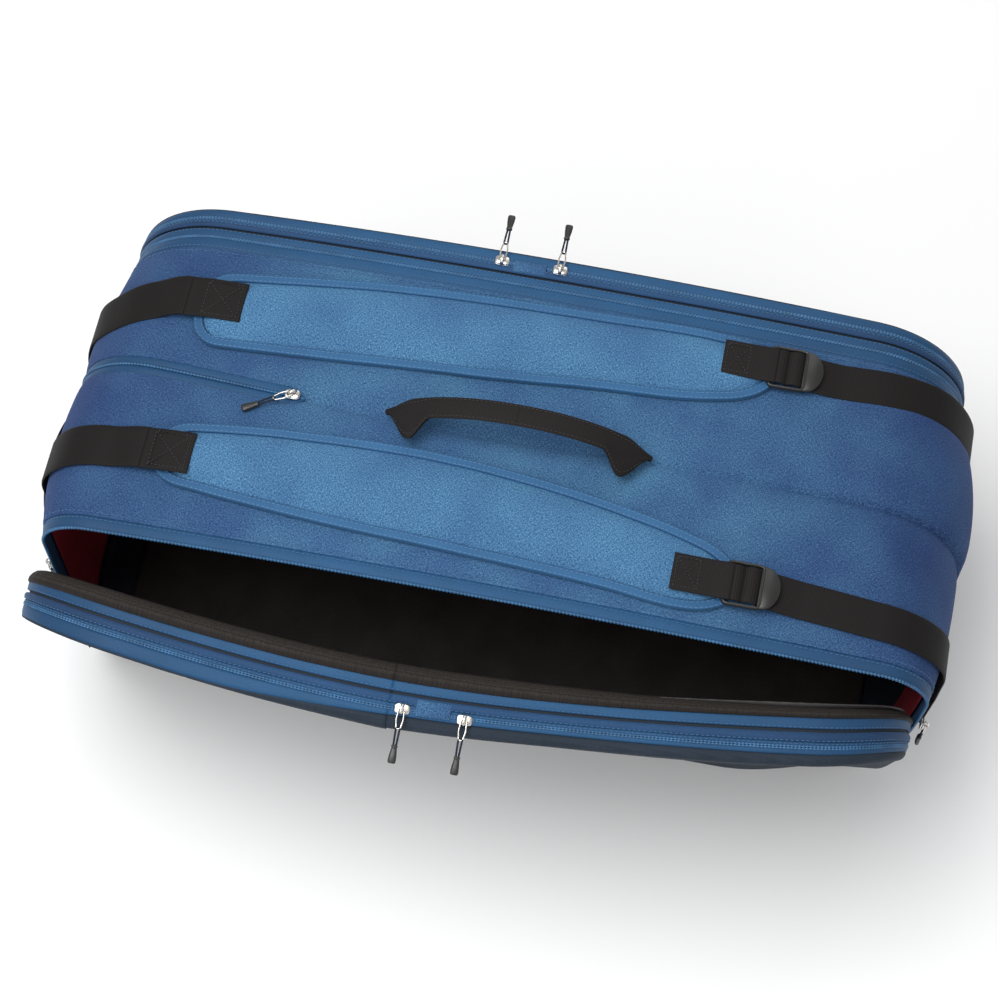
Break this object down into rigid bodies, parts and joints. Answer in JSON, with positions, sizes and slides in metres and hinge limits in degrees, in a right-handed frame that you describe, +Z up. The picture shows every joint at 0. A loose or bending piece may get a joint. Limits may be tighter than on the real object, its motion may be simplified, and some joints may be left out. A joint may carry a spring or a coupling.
{
  "type": "racket bag",
  "caption": "Long padded racket tournament bag with two zipped compartments, outer zip pockets, two padded shoulder straps, a carry handle and an end loop.",
  "frame": {"origin": "middle of the flat base, on the surface the bag stands on", "axes": "+X along the bag towards the end without the haul loop, -Y towards the open side flap, +Z up"},
  "size_m": [0.7915, 0.4983, 0.376],
  "materials": {
    "shell_fabric": "woven",
    "zip_tape": "woven tape with coil",
    "side_fabric": "woven",
    "lining_fabric": "smooth cloth",
    "pad_fabric": "padded weave",
    "patch_fabric": "stitched weave",
    "binding_fabric": "bound edge",
    "webbing": "ribbed webbing",
    "base_fabric": "coated weave",
    "buckle_plastic": "moulded",
    "slider_metal": "nickel plate",
    "pull_plastic": "moulded tip"
  },
  "bodies": {
    "shell": {"near_top_panel": "shell_fabric", "near_main_zip_tape": "zip_tape", "near_lining": "lining_fabric", "near_tail_webbing": "webbing", "near_head_webbing": "webbing", "far_top_panel": "shell_fabric", "far_main_zip_tape": "zip_tape", "far_lining": "lining_fabric", "far_tail_webbing": "webbing", "far_head_webbing": "webbing", "base_pan": "base_fabric", "centre_divider": "lining_fabric", "spine_pocket_pouch": "lining_fabric", "spine_zip_tape": "zip_tape", "carry_handle_feet": "webbing"},
    "near_flap": {"near_flap_panel": "side_fabric", "near_flap_rim": "binding_fabric", "near_flap_band": "shell_fabric", "near_pocket_zip": "zip_tape", "near_pocket_panel": "side_fabric", "near_pocket_tab": "shell_fabric"},
    "far_flap": {"far_flap_panel": "side_fabric", "far_flap_rim": "binding_fabric", "far_flap_band": "shell_fabric", "far_pocket_zip": "zip_tape", "far_pocket_tab": "shell_fabric"},
    "far_pocket": {"far_pocket_panel": "side_fabric"},
    "near_strap": {"near_strap_pad": "pad_fabric", "near_strap_patch": "patch_fabric", "near_buckle_tab": "webbing"},
    "near_buckle": {"near_strap_buckle": "buckle_plastic"},
    "far_strap": {"far_strap_pad": "pad_fabric", "far_strap_patch": "patch_fabric", "far_buckle_tab": "webbing"},
    "far_buckle": {"far_strap_buckle": "buckle_plastic"},
    "carry_handle": {"carry_handle_band": "webbing"},
    "end_loop": {"end_haul_loop": "webbing"},
    "near_pocket_tail_zip": {"near_pocket_tail_slider": "slider_metal"},
    "near_pocket_tail_pull": {"near_pocket_tail_pull_link": "slider_metal", "near_pocket_tail_pull_tip": "pull_plastic"},
    "near_pocket_head_zip": {"near_pocket_head_slider": "slider_metal"},
    "near_pocket_head_pull": {"near_pocket_head_pull_link": "slider_metal", "near_pocket_head_pull_tip": "pull_plastic"},
    "far_pocket_tail_zip": {"far_pocket_tail_slider": "slider_metal"},
    "far_pocket_tail_pull": {"far_pocket_tail_pull_link": "slider_metal", "far_pocket_tail_pull_tip": "pull_plastic"},
    "far_pocket_head_zip": {"far_pocket_head_slider": "slider_metal"},
    "far_pocket_head_pull": {"far_pocket_head_pull_link": "slider_metal", "far_pocket_head_pull_tip": "pull_plastic"},
    "near_main_tail_zip": {"near_main_tail_slider": "slider_metal"},
    "near_main_tail_pull": {"near_main_tail_pull": "slider_metal"},
    "near_main_head_zip": {"near_main_head_slider": "slider_metal"},
    "near_main_head_pull": {"near_main_head_pull": "slider_metal"},
    "far_main_tail_zip": {"far_main_tail_slider": "slider_metal"},
    "far_main_tail_pull": {"far_main_tail_pull": "slider_metal"},
    "far_main_head_zip": {"far_main_head_slider": "slider_metal"},
    "far_main_head_pull": {"far_main_head_pull": "slider_metal"},
    "spine_zip": {"spine_slider": "slider_metal"},
    "spine_pull": {"spine_pull_link": "slider_metal", "spine_pull_tip": "pull_plastic"}
  },
  "joints": [
    {"name": "near_flap_hinge", "type": "hinge", "parent": "shell", "child": "near_flap", "pos_m": [0, -0.149, 0.05], "axis": [1, 0, 0], "range_deg": [-16.2, 30]},
    {"name": "far_flap_hinge", "type": "hinge", "parent": "shell", "child": "far_flap", "pos_m": [0, 0.149, 0.05], "axis": [-1, 0, 0], "range_deg": [0, 80]},
    {"name": "far_pocket_hinge", "type": "hinge", "parent": "far_flap", "child": "far_pocket", "pos_m": [0, 0.149, 0.05], "axis": [-1, 0, 0], "range_deg": [0, 12]},
    {"name": "near_strap_lift", "type": "slide", "parent": "shell", "child": "near_strap", "axis": [0, 0, 1], "range_m": [0, 0.045]},
    {"name": "near_buckle_tilt", "type": "hinge", "parent": "near_strap", "child": "near_buckle", "pos_m": [0.2015, -0.1, 0.3316], "axis": [0, -1, 0], "range_deg": [0, 45]},
    {"name": "far_strap_lift", "type": "slide", "parent": "shell", "child": "far_strap", "axis": [0, 0, 1], "range_m": [0, 0.045]},
    {"name": "far_buckle_tilt", "type": "hinge", "parent": "far_strap", "child": "far_buckle", "pos_m": [0.2015, 0.1, 0.3316], "axis": [0, -1, 0], "range_deg": [0, 45]},
    {"name": "carry_handle_swing", "type": "hinge", "parent": "shell", "child": "carry_handle", "pos_m": [0, 0, 0.335], "axis": [1, 0, 0], "range_deg": [-55, 55]},
    {"name": "end_loop_swing", "type": "hinge", "parent": "shell", "child": "end_loop", "pos_m": [-0.3915, -0.06, 0.219], "axis": [0, 1, 0], "range_deg": [-8, 8]},
    {"name": "near_pocket_tail_zip_slide", "type": "slide", "parent": "near_flap", "child": "near_pocket_tail_zip", "axis": [-0.9998, 0.0164, -0.0086], "range_m": [0, 0.09]},
    {"name": "near_pocket_tail_pull_swing", "type": "hinge", "parent": "near_pocket_tail_zip", "child": "near_pocket_tail_pull", "pos_m": [-0.042, -0.24599, 0.31115], "axis": [-1, 0, 0], "range_deg": [0, 110]},
    {"name": "near_pocket_head_zip_slide", "type": "slide", "parent": "near_flap", "child": "near_pocket_head_zip", "axis": [0.9968, 0.0783, 0.0128], "range_m": [0, 0.11]},
    {"name": "near_pocket_head_pull_swing", "type": "hinge", "parent": "near_pocket_head_zip", "child": "near_pocket_head_pull", "pos_m": [0.009, -0.24598, 0.31163], "axis": [-1, 0, 0], "range_deg": [0, 110]},
    {"name": "far_pocket_tail_zip_slide", "type": "slide", "parent": "far_flap", "child": "far_pocket_tail_zip", "axis": [-0.9999, -0.0007, -0.0138], "range_m": [0, 0.09]},
    {"name": "far_pocket_tail_pull_swing", "type": "hinge", "parent": "far_pocket_tail_zip", "child": "far_pocket_tail_pull", "pos_m": [-0.042, 0.16589, 0.33427], "axis": [1, 0, 0], "range_deg": [0, 110]},
    {"name": "far_pocket_head_zip_slide", "type": "slide", "parent": "far_flap", "child": "far_pocket_head_zip", "axis": [0.9999, -0.0007, -0.0138], "range_m": [0, 0.11]},
    {"name": "far_pocket_head_pull_swing", "type": "hinge", "parent": "far_pocket_head_zip", "child": "far_pocket_head_pull", "pos_m": [0.009, 0.16591, 0.33473], "axis": [1, 0, 0], "range_deg": [0, 110]},
    {"name": "near_main_tail_zip_slide", "type": "slide", "parent": "shell", "child": "near_main_tail_zip", "axis": [0, 0, -1], "range_m": [0, 0.12]},
    {"name": "near_main_tail_pull_swing", "type": "hinge", "parent": "near_main_tail_zip", "child": "near_main_tail_pull", "pos_m": [-0.38229, -0.14, 0.215], "axis": [0, 1, 0], "range_deg": [0, 110]},
    {"name": "near_main_head_zip_slide", "type": "slide", "parent": "shell", "child": "near_main_head_zip", "axis": [0, 0, -1], "range_m": [0, 0.12]},
    {"name": "near_main_head_pull_swing", "type": "hinge", "parent": "near_main_head_zip", "child": "near_main_head_pull", "pos_m": [0.38229, -0.14, 0.215], "axis": [0, -1, 0], "range_deg": [0, 110]},
    {"name": "far_main_tail_zip_slide", "type": "slide", "parent": "shell", "child": "far_main_tail_zip", "axis": [0, 0, -1], "range_m": [0, 0.12]},
    {"name": "far_main_tail_pull_swing", "type": "hinge", "parent": "far_main_tail_zip", "child": "far_main_tail_pull", "pos_m": [-0.38229, 0.14, 0.215], "axis": [0, 1, 0], "range_deg": [0, 110]},
    {"name": "far_main_head_zip_slide", "type": "slide", "parent": "shell", "child": "far_main_head_zip", "axis": [0, 0, -1], "range_m": [0, 0.12]},
    {"name": "far_main_head_pull_swing", "type": "hinge", "parent": "far_main_head_zip", "child": "far_main_head_pull", "pos_m": [0.38229, 0.14, 0.215], "axis": [0, -1, 0], "range_deg": [0, 110]},
    {"name": "spine_zip_slide", "type": "slide", "parent": "shell", "child": "spine_zip", "axis": [-0.9991, 0, -0.0432], "range_m": [0, 0.09]},
    {"name": "spine_pull_swing", "type": "hinge", "parent": "spine_zip", "child": "spine_pull", "pos_m": [-0.19021, 0.004, 0.33333], "axis": [-0.4999, 0.8658, -0.0216], "range_deg": [0, 110]}
  ]
}
